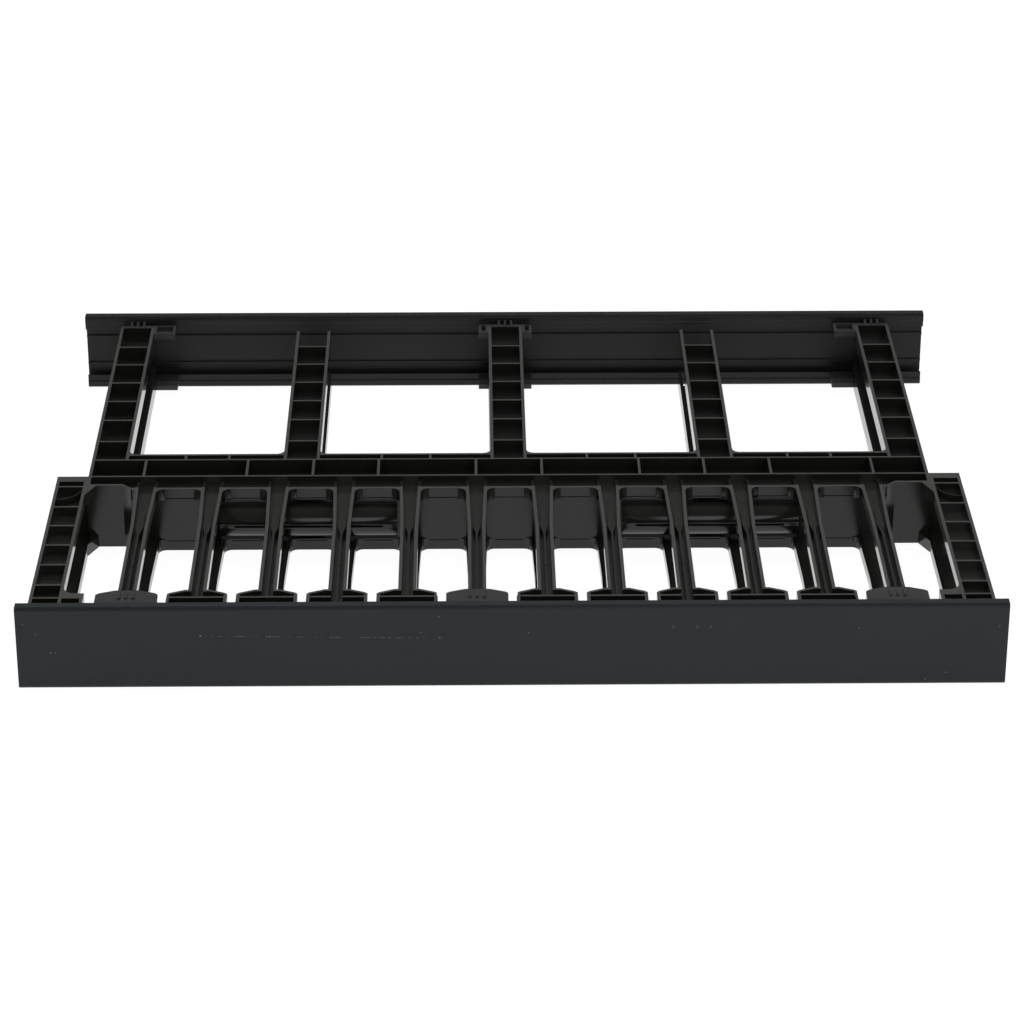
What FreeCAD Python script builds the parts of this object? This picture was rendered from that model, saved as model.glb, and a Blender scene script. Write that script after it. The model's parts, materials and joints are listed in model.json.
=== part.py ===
import FreeCAD, Part
import math
import os

# Horizontal cable manager, one rack unit high, for a 19 inch rack.
# X runs across the rack, Y from the front cover (-) to the rear cover (+), Z up.
# The origin is in the rack rail plane, midway across and at mid height.
# Two alike mouldings meet at Z = 0, one turned over, and carry a cover at each end.

Vec = FreeCAD.Vector

# ---- driving dimensions, millimetres ----
frame_height = 35.6          # over the two mouldings
cover_height = 44.4
cover_width = 482.6
front_reach = 156.7          # rail plane to the front cover's face
rear_reach = 209.9           # rail plane to the rear cover's face
ear_span = 472.5             # over the wide front section
body_width = 440.4           # over the section that passes between the rack rails

finger_depth = 6.4           # depth of the fingers, the web and the end ladders
beam_depth = 10.0            # depth of the rear beams
floor = 1.4                  # web at the bottom of a channel
rail = 1.7                   # side wall of a channel
rung = 1.4                   # cross wall of a channel
edge_bevel = 1.2             # bevel where a bar faces the cables
fit_gap = 0.3                # between parts that don't bear on each other
corner_round = 4.0           # plan rounding between a bar and the web
corner_chords = 4
overrun = 1.0                # how far a cut runs past the face it opens

finger_count = 12
end_bay = 31.3               # body's side to the first finger's centre
finger_root_width = 11.2
finger_width = 9.0
finger_taper = 42.6          # length over which a finger narrows from its root
finger_rib = 1.2
rib_drop = 0.6
boss_width = 2.8             # swelling of the middle rib near the root
boss_full_width = 4.2
boss_start = 22.4            # from the web's edge
boss_length = 19.0
boss_taper = 8.7
boss_drop = 1.4
pip_width = 1.6
pip_height = 0.3
pip_from_edge = 86.1

tee_width = 30.0
tee_back_reach = 27.4        # cover face to the tee's rear edge at the finger
tee_tip_reach = 24.2         # the same at the tee's tips
tee_setback = 9.6            # cover face to the tee's front edge
tee_bar = 10.0               # front edge to the tray's middle wall
tee_round = 1.5
tray_drop = 3.0
clipped_fingers = (0, 5, 11)
split_fingers = (3, 8)

web_reach = 15.6             # rail plane to the web's front edge
plate_thickness = 3.0
web_rib_drop = 3.0           # fall of the web's short ribs towards the rear
cross_depth = 20.1           # rail plane to the cross beam's middle wall
ledge_depth = 6.9            # from there to its rear wall
cross_ribs = (17.3, 68.6, 102.9, 137.6, 191.4)
ledge_ribs = (41.5, 67.2, 147.9, 170.8)

ladder_first = 33.3          # cover face to the end ladder's first rung
ladder_pitch = 21.9
ladder_rungs = 5
ladder_last = 12.0           # rail plane to the end ladder's last rung
ladder_arm = 10.4            # inward arm at the ladder's tip
ladder_arm_round = 6.0
arc_wall_radius = 13.0
gusset_width = 5.0
gusset_length = 11.0
step_width = 7.0             # stepped corner of the first and last bays
step_length = 4.6

beam_width = 19.2
mid_beam_offset = 109.5
beam_first = 43.3            # rail plane to the rear beam's first rung
beam_second_gap = 27.1
beam_pitch = 24.8
beam_rungs = 6
plain_setback = 18.1         # rear cover face to the end of a plain beam
stop_length = 10.0           # cable stop under a clipped beam's end
stop_height = 2.5
stop_bevel = 2.0

port_inner = 58.5            # pass-through ports, from the middle plane
port_outer = 150.5
bar_radius = 8.8             # rounded bar below each port
bar_wall = 2.0
bar_slot_inset = 7.5
bar_slot = 0.6

seam_step = 4.6              # tongue and recess where the halves meet
notch_spacing = 465.1        # rack screw spacing across
notch_width = 7.0
ear_thickness = 6.0

cover_depth = 7.2
cover_wall = 1.8
cover_round = 2.0
lip_thickness = 1.4
lip_height = 8.0
lip_groove = 0.5
groove_at = 4.0              # below the cover's top
cover_rib = 1.1
cover_rib_at = 8.4           # from the middle plane

hinge_drop = 4.6             # cover's top to the hinge axis
socket_radius = 2.0
bead_radius = 1.8
hook_clearance = 0.25
nose_width = 12.0
notch_clearance = 0.5
notched_lip = 5.0            # lip height beside a clip
neck_thickness = 0.8
arm_thickness = 1.8
arm_drop = 8.6               # cover's top to the clip arm's upper face
latch_bead_radius = 1.2
latch_gap = 0.4

clip_width = 30.5
clip_setback = 9.2           # cover's face to the clip's
clip_plate = 1.6
apron = 1.6
rib_width = 1.4
rib_pitch = 3.5
rib_rise = 0.7
front_rib_reach = (17.6, 24.0)
rear_rib_rise = 2.4
rear_clip_reach = 31.6       # across an outer rear beam and its arm
centre_clip_reach = 30.4
rear_clip_depth = 3.4
arm_reach = 21.0             # rear cover's face to the end of a clip's side arm
arm_height = 5.0
arm_bevel = 2.0
arm_channel_depth = 2.6

# ---- worked out from them ----
z_out = frame_height / 2
z_web = z_out - finger_depth
z_beam = z_out - beam_depth
web_floor = z_web + floor
beam_floor = z_beam + floor
z_cover = cover_height / 2
front_face = -front_reach
rear_face = rear_reach
web_edge = -web_reach
tee_front = front_face + tee_setback
tee_back = front_face + tee_back_reach
tee_tip = front_face + tee_tip_reach
tray_wall = tee_front + tee_bar
body_half = body_width / 2
ear_half = ear_span / 2
finger_pitch = (body_width - 2 * end_bay) / (finger_count - 1)
outer_beam = body_half - beam_width / 2
clipped_beams = (-outer_beam, 0.0, outer_beam)
plain_beams = (-mid_beam_offset, mid_beam_offset)
beam_end = rear_face - clip_setback - apron
rear_seat = rear_face - clip_setback - rear_clip_depth
plain_end = rear_face - plain_setback
ledge_end = cross_depth + ledge_depth
axis_depth = cover_wall + socket_radius      # hinge axis behind the cover's face
axis_z = z_cover - hinge_drop
clip_seat = z_out - clip_plate
hook_front = cover_wall + hook_clearance
step_start = (finger_count - 1) / 2 * finger_pitch + finger_root_width / 2 + step_width - step_length


def finger_x(index):
    return (index - (finger_count - 1) / 2) * finger_pitch


def box(x0, x1, y0, y1, z0, z1):
    low = Vec(min(x0, x1), min(y0, y1), min(z0, z1))
    return Part.makeBox(abs(x1 - x0), abs(y1 - y0), abs(z1 - z0), low)


def polygon_face(points):
    return Part.Face(Part.makePolygon(points + [points[0]]))


def plan_prism(points, z0, z1):
    """Extrude a plan outline, given as (x, y) pairs, from z0 to z1."""
    face = polygon_face([Vec(x, y, z0) for x, y in points])
    return face.extrude(Vec(0, 0, z1 - z0))


def side_prism(points, x0, x1):
    """Extrude a side outline, given as (y, z) pairs, from x0 to x1."""
    face = polygon_face([Vec(x0, y, z) for y, z in points])
    return face.extrude(Vec(x1 - x0, 0, 0))


def end_prism(points, y0, y1):
    """Extrude an end outline, given as (x, z) pairs, from y0 to y1."""
    face = polygon_face([Vec(x, y0, z) for x, z in points])
    return face.extrude(Vec(0, y1 - y0, 0))


def bar_section(x, half, z_low):
    """End outline of a bar that runs along Y, bevelled on its cable side."""
    return [
        (x - half, z_low + edge_bevel), (x - half + edge_bevel, z_low),
        (x + half - edge_bevel, z_low), (x + half, z_low + edge_bevel),
        (x + half, z_out), (x - half, z_out),
    ]


def straight_bar(x, half, y0, y1, z_low):
    return end_prism(bar_section(x, half, z_low), y0, y1)


def corner_fill(x, y, side_x, side_y, radius, z_low):
    """Fill the inside corner at (x, y) with a concave quarter round, in chords."""
    outline = [(x, y)]
    for i in range(corner_chords + 1):
        angle = math.pi / 2 * i / corner_chords
        reach_x = radius * (1 - math.sin(angle))
        reach_y = radius * (1 - math.cos(angle))
        outline.append((x + side_x * reach_x, y + side_y * reach_y))
    return plan_prism(outline, z_low, z_out)


def finger_bar(x):
    """A finger: tapered at its root, then straight to its tee."""
    kink = web_edge - finger_taper
    wires = []
    for half, y in ((finger_root_width / 2, web_edge), (finger_width / 2, kink)):
        points = [Vec(px, y, pz) for px, pz in bar_section(x, half, z_web)]
        wires.append(Part.makePolygon(points + [points[0]]))
    taper = Part.makeLoft(wires, True, True)
    return [taper, straight_bar(x, finger_width / 2, tee_tip - tee_round, kink, z_web)]


def tee_outline(x, half, front, tip, back):
    shoulder = finger_width / 2 + rail
    return [
        (x - half, front), (x + half, front),
        (x + half, tip - tee_round), (x + half - tee_round, tip),
        (x + shoulder, back), (x - shoulder, back),
        (x - half + tee_round, tip), (x - half, tip - tee_round),
    ]


def tee_solid(index):
    x = finger_x(index)
    half = tee_width / 2
    if index in clipped_fingers:
        front = front_face + clip_setback + apron
        return plan_prism(tee_outline(x, half, front, tee_tip, tee_back), z_web, clip_seat)
    return plan_prism(tee_outline(x, half, tee_front, tee_tip, tee_back), z_web, z_out)


def tee_trays(index):
    """Shallow trays in a tee, before and behind its middle wall."""
    x = finger_x(index)
    half = tee_width / 2 - rail
    low = z_out - tray_drop
    high = z_out + overrun
    front = box(x - half, x + half, tee_front + rail, tray_wall - rung / 2, low, high)
    shoulder = finger_width / 2 + rail
    near = tray_wall + rung / 2
    rear = plan_prism([
        (x - half, near), (x + half, near), (x + half, tee_tip - rail),
        (x + shoulder, tee_back - rail), (x - shoulder, tee_back - rail), (x - half, tee_tip - rail),
    ], low, high)
    return [front, rear]


def finger_channel(index):
    """The space between a finger's rails, open upwards."""
    x = finger_x(index)
    root = finger_root_width / 2 - rail
    inner = finger_width / 2 - rail
    kink = web_edge - finger_taper
    tip = tray_wall + rung / 2
    if index in split_fingers:
        tip = tee_front + rail
    if index in clipped_fingers:
        tip = tee_back
    outline = [
        (x - inner, tip), (x + inner, tip),
        (x + inner, kink), (x + root, web_edge),
        (x + root, -rung / 2), (x - root, -rung / 2),
        (x - root, web_edge), (x - inner, kink),
    ]
    return plan_prism(outline, web_floor, z_out + overrun)


def finger_details(index):
    """Middle rib, its swelling near the root and its pip."""
    x = finger_x(index)
    low = z_web + floor / 2
    boss_back = web_edge - boss_start
    boss_wide = boss_back - boss_length
    boss_tip = boss_wide - boss_taper
    rib_tip = tray_wall
    if index in split_fingers:
        rib_tip = tee_front + rail / 2
    if index in clipped_fingers:
        rib_tip = tee_back
    rib = box(x - finger_rib / 2, x + finger_rib / 2, rib_tip, boss_tip, low, z_out - rib_drop)
    boss = plan_prism([
        (x - boss_width / 2, boss_back), (x + boss_width / 2, boss_back),
        (x + boss_full_width / 2, boss_wide), (x + finger_rib / 2, boss_tip),
        (x - finger_rib / 2, boss_tip), (x - boss_full_width / 2, boss_wide),
    ], low, z_out - boss_drop)
    pip_y = web_edge - pip_from_edge
    pip_half = pip_width / 2
    pip_top = z_out - rib_drop + pip_height
    pip = box(x - pip_half, x + pip_half, pip_y - pip_half, pip_y + pip_half, z_out - 2 * rib_drop, pip_top)
    return [rib, boss, pip]


def web_and_cross():
    """The long web behind the fingers and the deeper cross beam behind it."""
    profile = [
        (web_edge, z_web + edge_bevel), (web_edge + edge_bevel, z_web),
        (-rung / 2, z_web), (-rung / 2, z_beam),
        (ledge_end - edge_bevel, z_beam), (ledge_end, z_beam + edge_bevel),
        (ledge_end, z_out), (web_edge, z_out),
    ]
    return side_prism(profile, -body_half, body_half)


def web_pockets():
    """Cells of the web between the fingers' roots, with the ribs' slopes."""
    cells = []
    root = finger_root_width / 2
    near = web_edge + rail
    far = -rung / 2
    slope = [(near, z_out), (far, z_out - web_rib_drop), (far, z_out + overrun), (near, z_out + overrun)]
    for index in range(finger_count):
        x = finger_x(index)
        cells.append(side_prism(slope, x - root, x + root))
        if index > 0:
            cells.append(box(finger_x(index - 1) + root, x - root, near, far, web_floor, z_out + overrun))
    side_wall = body_half - rail
    end_root = finger_x(finger_count - 1) + root
    for side in (-1, 1):
        outline = [
            (side * end_root, near), (side * step_start, near),
            (side * (step_start + step_length), near + step_length),
            (side * side_wall, near + step_length), (side * side_wall, far), (side * end_root, far),
        ]
        cells.append(plan_prism(outline, web_floor, z_out + overrun))
    return cells


def cells_between(edges, ribs, y0, y1, z0):
    """Cells between successive edges, split wherever a rib crosses."""
    cells = []
    for left, right in zip(edges[0::2], edges[1::2]):
        inside = [x for x in sorted([-r for r in ribs] + list(ribs)) if left < x < right]
        starts = [left] + [x + rung / 2 for x in inside]
        ends = [x - rung / 2 for x in inside] + [right]
        for x0, x1 in zip(starts, ends):
            cells.append(box(x0, x1, y0, y1, z0, z_out + overrun))
    return cells


def cross_pockets():
    """Cells of the cross beam, and of the narrow trough behind its middle wall."""
    side_wall = body_half - rail
    cells = cells_between([-side_wall, side_wall], cross_ribs, rung / 2, cross_depth - rung / 2, beam_floor)
    half = beam_width / 2
    edges = []
    for x in sorted(clipped_beams + plain_beams):
        edges += [x - half, x + half]
    return cells + cells_between(edges[1:-1], ledge_ribs, cross_depth + rung / 2, ledge_end - rail, beam_floor)


def end_bay_cut(side):
    """Sets the web's edge back beside the end ladder."""
    edge = web_edge - overrun
    outline = [
        (side * step_start, edge), (side * step_start, web_edge),
        (side * (step_start + step_length), web_edge + step_length),
        (side * body_half, web_edge + step_length), (side * body_half, edge),
    ]
    return plan_prism(outline, z_web - overrun, z_out + overrun)


def ladder_bar(side):
    half = (ear_half - body_half) / 2
    inner = side * body_half
    tip = inner - side * ladder_arm
    bar = straight_bar(side * (body_half + half), half, tee_front, 0.0, z_web)
    arm = box(inner, tip, tee_front, tee_tip, z_web, z_out)
    return [bar, arm, corner_fill(inner, tee_tip, -side, 1, ladder_arm_round, z_web)]


def ladder_gusset(side):
    inner = side * body_half
    edge = web_edge + step_length
    outline = [(inner, edge), (inner - side * gusset_width, edge), (inner, edge - gusset_length)]
    return plan_prism(outline, z_web, z_out)


def ladder_cells(side):
    x0 = side * (body_half + rail)
    x1 = side * (ear_half - rail)
    rungs = [front_face + ladder_first + ladder_pitch * i for i in range(ladder_rungs)]
    rungs = [tray_wall] + rungs + [-ladder_last]
    starts = [tee_front + rail] + [y + rung / 2 for y in rungs]
    ends = [y - rung / 2 for y in rungs] + [-ear_thickness]
    cells = [box(x0, x1, y0, y1, web_floor, z_out + overrun) for y0, y1 in zip(starts, ends)]
    inner = side * body_half
    tip = inner - side * (ladder_arm - rail)
    cells.append(box(inner, tip, tee_front + rail, tray_wall - rung / 2, z_out - tray_drop, z_out + overrun))
    return cells


def arc_wall(side):
    """Curved stiffener in the ladder's cell beside the rack screw."""
    x = side * (ear_half - rail / 2)
    y = -ladder_last
    z0 = z_web + floor / 2
    ring = Part.makeCylinder(arc_wall_radius, z_out - boss_drop - z0, Vec(x, y, z0))
    ring = ring.cut(Part.makeCylinder(arc_wall_radius - rung / 2, frame_height, Vec(x, y, 0)))
    reach = arc_wall_radius + overrun
    return ring.common(box(x, x - side * reach, y, y - reach, z0, z_out))


def beam_rung_places():
    places = [beam_first]
    for i in range(beam_rungs - 1):
        places.append(beam_first + beam_second_gap + beam_pitch * i)
    return places


def rear_beam(x, end):
    half = beam_width / 2
    parts = [straight_bar(x, half, cross_depth, end, z_beam)]
    for side in (-1, 1):
        edge = x + side * half
        if abs(edge) < body_half - half:
            parts.append(corner_fill(edge, ledge_end, side, 1, corner_round, z_beam))
    return parts


def rear_beam_cells(x, end, plain):
    x0 = x - beam_width / 2 + rail
    x1 = x + beam_width / 2 - rail
    rungs = beam_rung_places()
    starts = [cross_depth + rung / 2] + [y + rung / 2 for y in rungs]
    ends = [y - rung / 2 for y in rungs] + [rear_seat - fit_gap]
    cells = [box(x0, x1, y0, y1, beam_floor, z_out + overrun) for y0, y1 in zip(starts, ends)]
    if plain:
        cells[-1] = box(x0, x1, starts[-1], end + overrun, z_beam - overrun, z_out + overrun)
    return cells


def cable_stop(x):
    """Bevelled block under a clipped beam's end that keeps cables in."""
    half = beam_width / 2
    low = z_beam - stop_height
    top = z_beam + edge_bevel
    outline = [
        (x - half, top), (x - half, low + stop_bevel), (x - half + stop_bevel, low),
        (x + half - stop_bevel, low), (x + half, low + stop_bevel), (x + half, top),
    ]
    return end_prism(outline, beam_end - stop_length, beam_end)


def upright_plate():
    """The plate that joins the halves, with its ports and rack ears."""
    back = web_edge + plate_thickness
    top = z_web + floor / 2
    side_wall = body_half - rail
    plate = box(-step_start, step_start, web_edge, back, 0.0, top)
    parts = []
    for side in (-1, 1):
        port = box(side * port_inner, side * port_outer, web_edge - overrun, back + overrun, -overrun, z_web)
        plate = plate.cut(port)
        parts.append(port_bar(side, back))
        parts.append(box(side * side_wall, side * ear_half, -ear_thickness, 0.0, 0.0, top))
        parts.append(box(side * side_wall, side * body_half, web_edge + step_length, 0.0, 0.0, top))
        outline = [
            (side * step_start, web_edge), (side * (step_start + step_length), web_edge + step_length),
            (side * side_wall, web_edge + step_length), (side * side_wall, back + step_length),
            (side * (step_start + step_length), back + step_length), (side * step_start, back),
        ]
        parts.append(plan_prism(outline, side * seam_step, top))
    return [plate] + parts


def port_bar(side, back):
    """Half of the rounded bar across a port, hollow from behind."""
    width = port_outer - port_inner
    start = port_inner if side > 0 else -port_outer
    end = start + width
    round_half = Part.makeCylinder(bar_radius, width, Vec(start, web_edge, 0), Vec(1, 0, 0))
    round_half = round_half.common(box(start, end, web_edge - bar_radius, web_edge, 0.0, bar_radius))
    outer = round_half.fuse(box(start, end, web_edge, back, 0.0, bar_radius))
    inner_radius = bar_radius - bar_wall
    inner_width = width - 2 * bar_wall
    hollow = Part.makeCylinder(inner_radius, inner_width, Vec(start + bar_wall, web_edge, 0), Vec(1, 0, 0))
    behind = box(start + bar_wall, end - bar_wall, web_edge, back + overrun, -overrun, inner_radius)
    slot_y = web_edge - bar_radius - overrun
    slot = box(start + bar_slot_inset, end - bar_slot_inset, slot_y, web_edge, -overrun, bar_slot)
    return outer.cut(hollow.fuse(behind)).cut(slot)


def screw_notch(side):
    """Open notch for a rack screw in the ear."""
    x = side * notch_spacing / 2
    radius = notch_width / 2
    y0 = -ear_thickness - overrun
    hole = Part.makeCylinder(radius, ear_thickness + 2 * overrun, Vec(x, y0, 0), Vec(0, 1, 0))
    mouth = box(x, side * (ear_half + overrun), y0, overrun, -radius, radius)
    return hole.fuse(mouth)


def frame_half():
    """The upper moulding. The lower one is the same, turned over."""
    solids = [web_and_cross()] + upright_plate()
    pockets = web_pockets() + cross_pockets()
    details = []
    for index in range(finger_count):
        x = finger_x(index)
        solids += finger_bar(x)
        solids.append(tee_solid(index))
        pockets.append(finger_channel(index))
        if index in clipped_fingers:
            half = (clip_width + finger_width) / 2
            pockets.append(box(x - half, x + half, tee_front, tee_back, clip_seat, z_out + overrun))
        else:
            pockets += tee_trays(index)
        details += finger_details(index)
        for side in (-1, 1):
            edge = x + side * finger_root_width / 2
            radius = corner_round
            if abs(edge) > body_half - end_bay:
                radius = step_width - step_length
            solids.append(corner_fill(edge, web_edge, side, -1, radius, z_web))
    for side in (-1, 1):
        solids += ladder_bar(side)
        pockets += ladder_cells(side)
        pockets.append(screw_notch(side))
        pockets.append(end_bay_cut(side))
        details.append(arc_wall(side))
        details.append(ladder_gusset(side))
    for x in clipped_beams:
        solids += rear_beam(x, beam_end)
        solids.append(cable_stop(x))
        pockets += rear_beam_cells(x, beam_end, False)
        half = beam_width / 2 + overrun
        pockets.append(box(x - half, x + half, rear_seat, beam_end + overrun, clip_seat, z_out + overrun))
    for x in plain_beams:
        solids += rear_beam(x, plain_end)
        pockets += rear_beam_cells(x, plain_end, True)
    body = solids[0].multiFuse(solids[1:])
    body = body.cut(Part.makeCompound(pockets))
    return body.multiFuse(details).removeSplitter()


def cover_profile():
    """Half of the cover's section, as an outline of (depth, z) from its face."""
    inner = cover_wall
    lip_inner = cover_depth - lip_thickness
    lip_end = z_cover - lip_height
    bend = cover_round * (1 - math.sqrt(0.5))

    def at(depth, z):
        return Vec(0, depth, z)

    crown = axis_z + socket_radius
    edges = [
        Part.LineSegment(at(0, 0), at(0, z_cover - cover_round)).toShape(),
        Part.Arc(at(0, z_cover - cover_round), at(bend, z_cover - bend), at(cover_round, z_cover)).toShape(),
        Part.LineSegment(at(cover_round, z_cover), at(cover_depth - cover_round, z_cover)).toShape(),
        Part.Arc(at(cover_depth - cover_round, z_cover), at(cover_depth - bend, z_cover - bend),
                 at(cover_depth, z_cover - cover_round)).toShape(),
    ]
    groove = z_cover - groove_at
    outline = [
        (cover_depth, z_cover - cover_round), (cover_depth, groove),
        (cover_depth - lip_groove, groove - lip_groove), (cover_depth - lip_groove, lip_end),
        (lip_inner, lip_end), (lip_inner, axis_z),
    ]
    for start, end in zip(outline, outline[1:]):
        edges.append(Part.LineSegment(at(*start), at(*end)).toShape())
    edges.append(Part.Arc(at(lip_inner, axis_z), at(axis_depth, crown), at(inner, axis_z)).toShape())
    rib_top = cover_rib_at + cover_rib / 2
    rib_low = cover_rib_at - cover_rib / 2
    tail = [
        (inner, axis_z), (inner, rib_top), (inner + cover_rib, rib_top),
        (inner + cover_rib, rib_low), (inner, rib_low), (inner, 0), (0, 0),
    ]
    for start, end in zip(tail, tail[1:]):
        edges.append(Part.LineSegment(at(*start), at(*end)).toShape())
    return Part.Face(Part.Wire(edges))


def cover(face_y, direction, clip_places):
    """A full cover: an extruded channel, notched beside each clip."""
    half = cover_profile().extrude(Vec(cover_width, 0, 0))
    half.translate(Vec(-cover_width / 2, 0, 0))
    lower = half.mirror(Vec(0, 0, 0), Vec(0, 0, 1))
    shell = half.fuse(lower).removeSplitter()
    reach = nose_width / 2 + notch_clearance
    low = z_cover - lip_height - 1
    high = z_cover - notched_lip
    cuts = []
    for x in clip_places:
        for centre, z0, z1 in ((x, low, high), (-x, -high, -low)):
            back = cover_depth + 1
            cuts.append(box(centre - reach, centre + reach, axis_depth, back, z0, z1))
    shell = shell.cut(Part.makeCompound(cuts))
    if direction < 0:
        shell = shell.mirror(Vec(0, 0, 0), Vec(0, 1, 0))
    shell.translate(Vec(0, face_y, 0))
    return shell


def clip_nose(x, hinged):
    """Hinge hook or latch nose, built for a front face at Y = 0."""
    x0 = x - nose_width / 2
    x1 = x + nose_width / 2
    arm_top = z_cover - arm_drop
    arm_low = arm_top - arm_thickness
    arm_end = clip_setback + apron
    if hinged:
        arm = box(x0, x1, hook_front, arm_end, arm_low, arm_top)
        neck = box(x0, x1, hook_front, hook_front + neck_thickness, arm_low, axis_z)
        bead = Part.makeCylinder(bead_radius, nose_width, Vec(x0, axis_depth, axis_z), Vec(1, 0, 0))
    else:
        bead_z = z_cover - notched_lip - latch_gap - latch_bead_radius
        half = latch_bead_radius / 2
        arm = box(x0, x1, axis_depth - half, arm_end, arm_low, arm_top)
        neck = box(x0, x1, axis_depth - half, axis_depth + half, arm_low, bead_z)
        bead = Part.makeCylinder(latch_bead_radius, nose_width, Vec(x0, axis_depth, bead_z), Vec(1, 0, 0))
    face = box(x0, x1, clip_setback, arm_end, arm_low, z_out)
    return [arm, neck, bead, face]


def clip_ribs(x, outline):
    ribs = []
    for i in (-1, 0, 1):
        centre = x + i * rib_pitch
        ribs.append(side_prism(outline, centre - rib_width / 2, centre + rib_width / 2))
    return ribs


def front_clip(x, hinged):
    """Cap over a finger's tee, with its nose towards the cover."""
    back = tee_back_reach - fit_gap
    outline = tee_outline(x, clip_width / 2, clip_setback, tee_tip_reach, back)
    plate = plan_prism(outline, clip_seat, z_out)
    y0, y1 = front_rib_reach
    top = z_out + rib_rise
    rib = [(y0, clip_seat), (y1, clip_seat), (y1, z_out), (y1 - rib_rise, top), (y0, top)]
    return plate.multiFuse(clip_nose(x, hinged) + clip_ribs(x, rib)).removeSplitter()


def clip_arm(x0, x1):
    """Shallow channel beside a rear beam, from x0 beside the beam to x1."""
    side = 1 if x1 > x0 else -1
    low = z_out - arm_height
    outline = [
        (clip_setback, z_out), (arm_reach, z_out), (arm_reach, low + arm_bevel),
        (arm_reach - arm_bevel, low), (clip_setback, low),
    ]
    y0 = clip_setback + apron
    x_near = x0 + side * rail
    x_far = x1 - side * rail
    well = box(x_near, x_far, y0, arm_reach - rail, z_out - arm_channel_depth, z_out + overrun)
    return side_prism(outline, x0, x1).cut(well)


def rear_clip(x, reach_left, reach_right, hinged):
    """Cap over a rear beam's end, with an arm beside the beam."""
    half = beam_width / 2
    far = clip_setback + rear_clip_depth
    plate = box(x - half, x + half, clip_setback, far, clip_seat, z_out)
    face = box(x - half, x + half, clip_setback, clip_setback + apron, z_out - arm_height, z_out)
    rib = [(clip_setback, clip_seat), (far, clip_seat), (far, z_out), (clip_setback, z_out + rear_rib_rise)]
    parts = clip_nose(x, hinged) + clip_ribs(x, rib) + [face]
    for side, reach in ((-1, reach_left), (1, reach_right)):
        if reach > half:
            parts.append(clip_arm(x + side * half, x + side * reach))
    return plate.multiFuse(parts).removeSplitter()


def place_front(shape):
    shape.translate(Vec(0, front_face, 0))
    return shape


def place_rear(shape):
    turned = shape.mirror(Vec(0, 0, 0), Vec(0, 1, 0))
    turned.translate(Vec(0, rear_face, 0))
    return turned


def turned_over(shape):
    """The same shape turned half a turn about the Y axis."""
    turned = shape.copy()
    turned.rotate(Vec(0, 0, 0), Vec(0, 1, 0), 180)
    return turned


def build():
    nodes = {}
    upper = frame_half()
    nodes["upper_frame"] = upper
    nodes["lower_frame"] = turned_over(upper)
    front_places = [finger_x(index) for index in clipped_fingers]
    nodes["front_cover"] = cover(front_face, 1, front_places)
    nodes["rear_cover"] = cover(rear_face, -1, clipped_beams)
    half = beam_width / 2
    outer_reach = rear_clip_reach - half
    reaches = {
        "left": (half, outer_reach),
        "centre": (centre_clip_reach / 2, centre_clip_reach / 2),
        "right": (outer_reach, half),
    }
    opposite = {"left": "right", "centre": "centre", "right": "left"}
    for side, x_front, x_rear in zip(reaches, front_places, clipped_beams):
        left, right = reaches[side]
        below = opposite[side]
        nodes["front_hinge_clip_" + side] = place_front(front_clip(x_front, True))
        nodes["front_latch_clip_" + below] = turned_over(place_front(front_clip(x_front, False)))
        nodes["rear_hinge_clip_" + side] = place_rear(rear_clip(x_rear, left, right, True))
        nodes["rear_latch_clip_" + below] = turned_over(place_rear(rear_clip(x_rear, left, right, False)))
    return nodes


def main():
    os.makedirs("parts", exist_ok=True)
    for name, shape in build().items():
        if len(shape.Solids) != 1:
            print(name, "has", len(shape.Solids), "solids")
        solid = shape.Solids[0] if len(shape.Solids) == 1 else shape
        solid.exportStep("parts/" + name + ".step")
        print(name, "valid", solid.isValid(), "volume", round(solid.Volume / 1000, 2), "cm3")


main()
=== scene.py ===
import bpy
import json
import math
from mathutils import Matrix, Vector


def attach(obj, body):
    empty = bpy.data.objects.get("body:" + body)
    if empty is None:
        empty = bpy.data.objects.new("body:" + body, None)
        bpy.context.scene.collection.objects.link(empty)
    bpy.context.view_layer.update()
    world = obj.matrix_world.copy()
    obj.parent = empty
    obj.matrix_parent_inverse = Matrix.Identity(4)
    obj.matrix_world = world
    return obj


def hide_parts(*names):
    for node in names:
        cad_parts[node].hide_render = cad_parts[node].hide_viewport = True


# The rack cable manager: bevelled black plastic on a pale studio floor.

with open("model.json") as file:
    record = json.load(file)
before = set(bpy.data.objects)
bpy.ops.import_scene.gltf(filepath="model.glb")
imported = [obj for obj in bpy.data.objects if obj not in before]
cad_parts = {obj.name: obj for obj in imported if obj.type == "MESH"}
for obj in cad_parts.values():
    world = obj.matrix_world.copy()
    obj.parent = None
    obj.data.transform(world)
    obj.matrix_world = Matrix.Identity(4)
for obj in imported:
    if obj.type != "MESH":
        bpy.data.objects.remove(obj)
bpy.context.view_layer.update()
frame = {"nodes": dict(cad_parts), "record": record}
nodes = frame["nodes"]
bodyOf = {n: b for b, names in frame["record"]["behaviour"]["bodies"].items() for n in names}
print("frame loaded:", len(nodes), "nodes")


def pickOnly(obj):
    bpy.ops.object.select_all(action="DESELECT")
    obj.hide_set(False)
    obj.select_set(True)
    bpy.context.view_layer.objects.active = obj


def addNode(tree, kind, x, y, **values):
    node = tree.nodes.new(kind)
    node.location = (x, y)
    for name, value in values.items():
        node.inputs[name].default_value = value
    return node


def joinMath(tree, operation, first, second):
    node = tree.nodes.new("ShaderNodeMath")
    node.operation = operation
    for socket, value in ((node.inputs[0], first), (node.inputs[1], second)):
        if isinstance(value, bpy.types.NodeSocket):
            tree.links.new(value, socket)
        else:
            socket.default_value = value
    return node.outputs[0]


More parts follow.
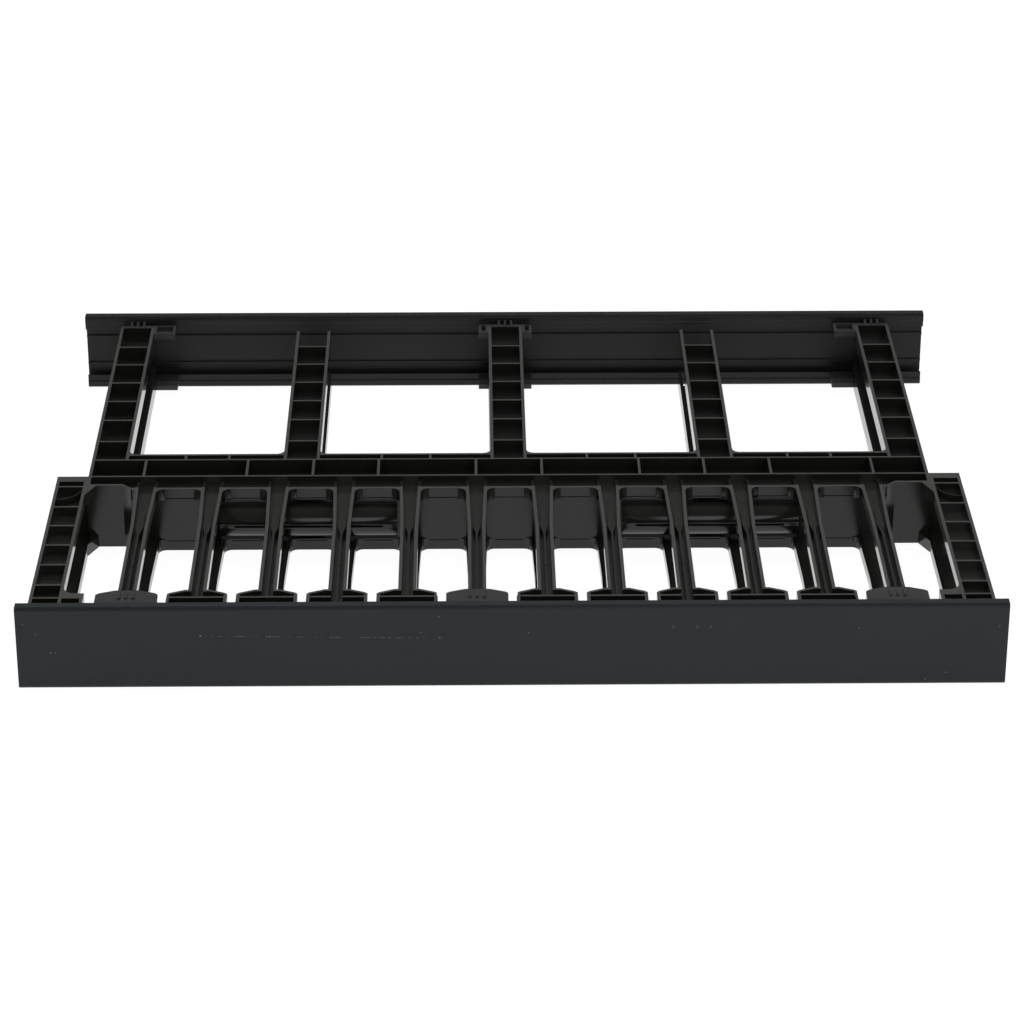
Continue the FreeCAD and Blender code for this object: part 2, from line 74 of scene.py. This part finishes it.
def mixColors(tree, x, y, factor, first, second):
    node = tree.nodes.new("ShaderNodeMix")
    node.data_type = "RGBA"
    node.location = (x, y)
    for socket, value in ((node.inputs[0], factor), (node.inputs[6], first), (node.inputs[7], second)):
        if isinstance(value, bpy.types.NodeSocket):
            tree.links.new(value, socket)
        else:
            socket.default_value = value
    return node.outputs[2]


def plastic(name, s):
    material = bpy.data.materials.new(name)
    material.use_nodes = True
    tree = material.node_tree
    tree.nodes.clear()
    out = addNode(tree, "ShaderNodeOutputMaterial", 900, 0)
    shader = addNode(tree, "ShaderNodeBsdfPrincipled", 600, 0)
    shader.inputs["IOR"].default_value = s["ior"]
    shader.inputs["Specular IOR Level"].default_value = s["specular"]
    tree.links.new(shader.outputs[0], out.inputs["Surface"])
    coords = addNode(tree, "ShaderNodeTexCoord", -900, 0)

    # slow drift in tone, as moulded plastic has
    drift = addNode(tree, "ShaderNodeTexNoise", -600, 250, Scale=s["driftScale"], Detail=3.0)
    tree.links.new(coords.outputs["Object"], drift.inputs["Vector"])
    color = mixColors(tree, -200, 250, drift.outputs["Fac"], s["dark"], s["light"])
    tree.links.new(color, shader.inputs["Base Color"])

    # gloss varies a little over the surface
    sheen = addNode(tree, "ShaderNodeTexNoise", -600, -50, Scale=s["sheenScale"], Detail=4.0)
    tree.links.new(coords.outputs["Object"], sheen.inputs["Vector"])
    span = addNode(tree, "ShaderNodeMapRange", -200, -50)
    span.inputs["To Min"].default_value = s["roughLow"]
    span.inputs["To Max"].default_value = s["roughHigh"]
    tree.links.new(sheen.outputs["Fac"], span.inputs["Value"])
    tree.links.new(span.outputs["Result"], shader.inputs["Roughness"])

    # fine grain from the mould
    grain = addNode(tree, "ShaderNodeTexNoise", -600, -350, Scale=s["grainScale"], Detail=2.0)
    tree.links.new(coords.outputs["Object"], grain.inputs["Vector"])
    bump = addNode(tree, "ShaderNodeBump", -200, -350, Strength=s["grainStrength"], Distance=s["grainDepth"])
    tree.links.new(grain.outputs["Fac"], bump.inputs["Height"])
    tree.links.new(bump.outputs["Normal"], shader.inputs["Normal"])
    return material, tree, shader, coords, color


framePlastic = {
    "dark": (0.0108, 0.0106, 0.0093, 1),
    "light": (0.0138, 0.0135, 0.0120, 1),
    "ior": 1.5,
    "specular": 0.42,
    "driftScale": 30.0,
    "roughLow": 0.11,
    "roughHigh": 0.19,
    "sheenScale": 55.0,
    "grainScale": 900.0,
    "grainStrength": 0.10,
    "grainDepth": 0.0001,
}
# rail tops: the roughness is their own duller finish, the lighter colour is a painted highlight
railTopsMatteAndPaintedHighlight = {"height": 0.01765, "color": (0.037, 0.037, 0.035, 1), "roughness": 0.42}
clipPlastic = dict(
    framePlastic,
    dark=(0.020, 0.0205, 0.0205, 1),
    light=(0.027, 0.0275, 0.0275, 1),
    roughLow=0.42,
    roughHigh=0.55,
)
coverPlastic = {
    "dark": (0.0125, 0.0160, 0.0185, 1),
    "light": (0.0152, 0.0192, 0.0218, 1),
    "ior": 1.5,
    "specular": 0.28,
    "driftScale": 14.0,
    "roughLow": 0.42,
    "roughHigh": 0.52,
    "sheenScale": 40.0,
    "grainScale": 1400.0,
    "grainStrength": 0.12,
    "grainDepth": 0.00008,
}
rearCoverPlastic = dict(coverPlastic, dark=(0.0100, 0.0104, 0.0092, 1), light=(0.0122, 0.0127, 0.0113, 1))


# the frame's outer edges (rail tops) are duller than its moulded faces, and their colour is painted lighter,
# a painted highlight for the light the rail tops catch
def addRailTopsMatteAndPaintedHighlight(tree, shader, coords, color, s):
    split = tree.nodes.new("ShaderNodeSeparateXYZ")
    tree.links.new(coords.outputs["Object"], split.inputs[0])
    outer = joinMath(tree, "GREATER_THAN", joinMath(tree, "ABSOLUTE", split.outputs[2], 0.0), s["height"])
    # painted highlight: the rail tops' colour is mixed towards a lighter grey
    tree.links.new(mixColors(tree, 200, 300, outer, color, s["color"]), shader.inputs["Base Color"])
    gloss = shader.inputs["Roughness"].links[0].from_socket
    rough = joinMath(tree, "MULTIPLY", outer, s["roughness"])
    tree.links.new(joinMath(tree, "MAXIMUM", gloss, rough), shader.inputs["Roughness"])


frameMaterial, tree, shader, coords, color = plastic("framePlastic", framePlastic)
addRailTopsMatteAndPaintedHighlight(tree, shader, coords, color, railTopsMatteAndPaintedHighlight)
clipMaterial = plastic("clipPlastic", clipPlastic)[0]
rearCoverMaterial = plastic("rearCoverPlastic", rearCoverPlastic)[0]


# specks are x, z and radius on the front cover's face
wear = {
    "color": (0.36, 0.37, 0.36, 1),
    "strength": 0.60,
    "spread": 0.60,
    "faceY": -0.1567,
    "specks": [
        (-0.2376, 0.0133, 0.00035), (-0.2316, 0.0078, 0.00035), (-0.2248, -0.0022, 0.00055),
        (-0.2225, -0.0021, 0.00035), (-0.1517, 0.0068, 0.00060), (-0.1179, 0.0061, 0.00045),
        (-0.0599, 0.0052, 0.00045), (-0.0447, 0.0080, 0.00035), (-0.0358, 0.0166, 0.00040),
        (-0.0355, 0.0052, 0.00050), (0.0076, 0.0076, 0.00040), (0.0779, 0.0105, 0.00040),
        (0.0896, 0.0104, 0.00045), (0.0962, 0.0104, 0.00045), (0.1684, 0.0093, 0.00040),
        (0.2019, -0.0191, 0.00045), (0.2118, -0.0154, 0.00045), (0.2368, 0.0097, 0.00035),
    ],
    "scuffFrom": -0.1550,
    "scuffTo": -0.0340,
    "scuffSlope": 0.0145,
    "scuffHeight": 0.0044,
    "scuffWidth": 0.00016,
    "scuffStrength": 0.20,
    "scuffBreaks": 520.0,
    "scuffGaps": 0.54,
    "faceDepth": 0.0003,
}


def addWear(tree, shader, coords, color, s):
    mask = None
    for i, (x, z, radius) in enumerate(s["specks"]):
        near = tree.nodes.new("ShaderNodeVectorMath")
        near.operation = "DISTANCE"
        near.location = (-1400, 900 - 60 * i)
        near.inputs[1].default_value = (x, s["faceY"], z)
        tree.links.new(coords.outputs["Object"], near.inputs[0])
        inside = tree.nodes.new("ShaderNodeMath")
        inside.operation = "LESS_THAN"
        inside.location = (-1200, 900 - 60 * i)
        inside.inputs[1].default_value = radius * s["spread"]
        tree.links.new(near.outputs["Value"], inside.inputs[0])
        mask = inside.outputs[0] if mask is None else joinMath(tree, "MAXIMUM", mask, inside.outputs[0])
    specks = joinMath(tree, "MULTIPLY", mask, s["strength"])

    split = tree.nodes.new("ShaderNodeSeparateXYZ")
    tree.links.new(coords.outputs["Object"], split.inputs[0])
    x, y, z = (split.outputs[i] for i in range(3))
    lean = joinMath(tree, "MULTIPLY", x, s["scuffSlope"])
    height = joinMath(tree, "SUBTRACT", joinMath(tree, "ADD", z, lean), s["scuffHeight"])
    onLine = joinMath(tree, "LESS_THAN", joinMath(tree, "ABSOLUTE", height, 0.0), s["scuffWidth"])
    afterStart = joinMath(tree, "GREATER_THAN", x, s["scuffFrom"])
    beforeEnd = joinMath(tree, "LESS_THAN", x, s["scuffTo"])
    onFace = joinMath(tree, "LESS_THAN", y, s["faceY"] + s["faceDepth"])
    breaks = addNode(tree, "ShaderNodeTexNoise", -1400, -700, Scale=s["scuffBreaks"], Detail=1.0)
    tree.links.new(coords.outputs["Object"], breaks.inputs["Vector"])
    kept = joinMath(tree, "GREATER_THAN", breaks.outputs["Fac"], s["scuffGaps"])
    scuff = joinMath(tree, "MULTIPLY", kept, s["scuffStrength"])
    for part in (onLine, afterStart, beforeEnd, onFace):
        scuff = joinMath(tree, "MULTIPLY", scuff, part)
    worn = mixColors(tree, 300, 300, joinMath(tree, "MAXIMUM", specks, scuff), color, s["color"])
    tree.links.new(worn, shader.inputs["Base Color"])


frontCoverMaterial, tree, shader, coords, color = plastic("frontCoverPlastic", coverPlastic)
addWear(tree, shader, coords, color, wear)
print("materials made")


# each CAD piece gets a bevelled copy that is shown in its place
meshSettings = {"weldDistance": 0.000005, "flatAngle": 0.5, "smoothAngle": 40}
edgeSettings = {
    "frame": {"width": 0.00036, "segments": 2, "angle": 35},
    "cover": {"width": 0.00022, "segments": 2, "angle": 35},
    "clip": {"width": 0.00025, "segments": 2, "angle": 35},
}


def softenedCopy(nodeName, material, s):
    source = nodes[nodeName]
    pickOnly(source)
    bpy.ops.object.duplicate()
    copy = bpy.context.active_object
    copy.name = nodeName + "Softened"
    copy.parent = None
    for key in list(copy.keys()):
        del copy[key]
    bpy.ops.object.mode_set(mode="EDIT")
    bpy.ops.mesh.select_all(action="SELECT")
    bpy.ops.mesh.remove_doubles(threshold=meshSettings["weldDistance"])
    bpy.ops.mesh.dissolve_limited(angle_limit=math.radians(meshSettings["flatAngle"]))
    bpy.ops.mesh.select_all(action="SELECT")
    bpy.ops.mesh.normals_make_consistent(inside=False)
    bpy.ops.object.mode_set(mode="OBJECT")
    bevel = copy.modifiers.new("edges", "BEVEL")
    bevel.width = s["width"]
    bevel.segments = s["segments"]
    bevel.limit_method = "ANGLE"
    bevel.angle_limit = math.radians(s["angle"])
    bevel.use_clamp_overlap = True
    bevel.harden_normals = False
    bpy.ops.object.modifier_apply(modifier="edges")
    bpy.ops.object.shade_auto_smooth(angle=math.radians(meshSettings["smoothAngle"]))
    for modifier in list(copy.modifiers):
        bpy.ops.object.modifier_apply(modifier=modifier.name)
    copy.data.materials.clear()
    copy.data.materials.append(material)
    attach(copy, bodyOf[nodeName])
    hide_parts(nodeName)
    return copy


for name, source in nodes.items():
    if name.endswith("_frame"):
        kind, material, slotName = "frame", frameMaterial, "frame_plastic"
    elif name == "front_cover":
        kind, material, slotName = "cover", frontCoverMaterial, "cover_plastic"
    elif name == "rear_cover":
        kind, material, slotName = "cover", rearCoverMaterial, "cover_plastic"
    else:
        kind, material, slotName = "clip", clipMaterial, "clip_plastic"
    source.data.materials.clear()
    source.data.materials.append(material)
    copy = softenedCopy(name, material, edgeSettings[kind])
    print("softened", name, len(copy.data.polygons), "faces")


# 1 for camera, mirror and see-through rays, 0 for the rays that light the object
def seenDirectly(tree):
    rays = addNode(tree, "ShaderNodeLightPath", -300, 300)
    sharp = joinMath(tree, "MAXIMUM", rays.outputs["Is Glossy Ray"], rays.outputs["Is Transmission Ray"])
    return joinMath(tree, "MAXIMUM", rays.outputs["Is Camera Ray"], sharp)


floorSettings = {
    "size": 6.0,
    "height": -0.0225,
    "color": (0.86, 0.86, 0.86, 1),
    "glow": 0.965,
    "shadowColor": (0.10, 0.10, 0.10, 1),
}


def makeFloor(s):
    bpy.ops.mesh.primitive_plane_add(size=s["size"], location=(0, 0, s["height"]))
    floor = bpy.context.active_object
    floor.name = "studioFloor"
    material = bpy.data.materials.new("paleFloor")
    material.use_nodes = True
    tree = material.node_tree
    tree.nodes.clear()
    out = addNode(tree, "ShaderNodeOutputMaterial", 700, 0)
    diffuse = addNode(tree, "ShaderNodeBsdfDiffuse", 0, -150, Color=s["color"])
    white = addNode(tree, "ShaderNodeEmission", 0, 100, Color=(1, 1, 1, 1), Strength=s["glow"])
    shadow = addNode(tree, "ShaderNodeBsdfDiffuse", 0, 0, Color=s["shadowColor"])
    part = addNode(tree, "ShaderNodeAddShader", 250, 0)
    tree.links.new(white.outputs[0], part.inputs[0])
    tree.links.new(shadow.outputs[0], part.inputs[1])
    seen = seenDirectly(tree)
    choose = addNode(tree, "ShaderNodeMixShader", 480, 0)
    tree.links.new(seen, choose.inputs[0])
    tree.links.new(diffuse.outputs[0], choose.inputs[1])
    tree.links.new(part.outputs[0], choose.inputs[2])
    tree.links.new(choose.outputs[0], out.inputs["Surface"])
    floor.data.materials.append(material)


makeFloor(floorSettings)
print("floor laid")


worldSettings = {"ambient": (0.80, 0.80, 0.80, 1), "strength": 0.55, "reflected": 0.15}
lampSettings = [
    {"name": "overhead", "place": (0.0, 0.35, 1.6), "size": (2.0, 1.2), "power": 19.0, "mirrored": False},
    {"name": "rimStrip", "place": (0.0, 1.7, 1.35), "size": (2.6, 0.16), "power": 4.0, "mirrored": True},
    {"name": "frontFill", "place": (0.5, -2.2, 0.9), "size": (1.8, 1.0), "power": 8.5, "mirrored": True},
]


def makeWorld(s):
    world = bpy.data.worlds.new("studio")
    bpy.context.scene.world = world
    world.use_nodes = True
    tree = world.node_tree
    tree.nodes.clear()
    out = addNode(tree, "ShaderNodeOutputWorld", 600, 0)
    ambient = addNode(tree, "ShaderNodeBackground", 0, -100, Color=s["ambient"], Strength=s["strength"])
    white = addNode(tree, "ShaderNodeBackground", 0, 100, Color=(1, 1, 1, 1), Strength=1.0)
    sky = addNode(tree, "ShaderNodeBackground", 0, -300, Color=(1, 1, 1, 1), Strength=s["reflected"])
    rays = addNode(tree, "ShaderNodeLightPath", -300, 300)
    shown = addNode(tree, "ShaderNodeMixShader", 300, 100)
    tree.links.new(rays.outputs["Is Glossy Ray"], shown.inputs[0])
    tree.links.new(white.outputs[0], shown.inputs[1])
    tree.links.new(sky.outputs[0], shown.inputs[2])
    choose = addNode(tree, "ShaderNodeMixShader", 450, 0)
    tree.links.new(seenDirectly(tree), choose.inputs[0])
    tree.links.new(ambient.outputs[0], choose.inputs[1])
    tree.links.new(shown.outputs[0], choose.inputs[2])
    tree.links.new(choose.outputs[0], out.inputs["Surface"])


def makeLamp(s):
    bpy.ops.object.light_add(type="AREA", location=s["place"])
    lamp = bpy.context.active_object
    lamp.name = s["name"]
    lamp.data.shape = "RECTANGLE"
    lamp.data.size, lamp.data.size_y = s["size"]
    lamp.data.energy = s["power"]
    lamp.visible_glossy = s["mirrored"]
    toward = -Vector(s["place"])
    lamp.rotation_mode = "QUATERNION"
    lamp.rotation_quaternion = toward.to_track_quat("-Z", "Y")


makeWorld(worldSettings)
for s in lampSettings:
    makeLamp(s)
print("lights set")


cameraSettings = {
    "place": (-0.0203, -1.6709, 0.8172),
    "pitch": 26.171,
    "yaw": 0.750,
    "roll": 0.075,
    "lens": 124.22,
    "sensor": 36.0,
    "near": 0.01,
    "far": 50.0,
}


def makeCamera(s):
    bpy.ops.object.camera_add(location=s["place"])
    camera = bpy.context.active_object
    pitch, yaw, roll = (math.radians(s[k]) for k in ("pitch", "yaw", "roll"))
    ahead = Vector((math.sin(yaw) * math.cos(pitch), math.cos(yaw) * math.cos(pitch), -math.sin(pitch)))
    right = Vector((math.cos(yaw), -math.sin(yaw), 0))
    up = right.cross(ahead)
    rightRolled = math.cos(roll) * right + math.sin(roll) * up
    upRolled = -math.sin(roll) * right + math.cos(roll) * up
    turn = Matrix((rightRolled, upRolled, -ahead)).transposed()
    camera.matrix_world = Matrix.Translation(s["place"]) @ turn.to_4x4()
    camera.data.sensor_width = s["sensor"]
    camera.data.lens = s["lens"]
    camera.data.clip_start = s["near"]
    camera.data.clip_end = s["far"]
    bpy.context.scene.camera = camera


makeCamera(cameraSettings)
bpy.context.scene.view_settings.view_transform = "Standard"
print("camera set")
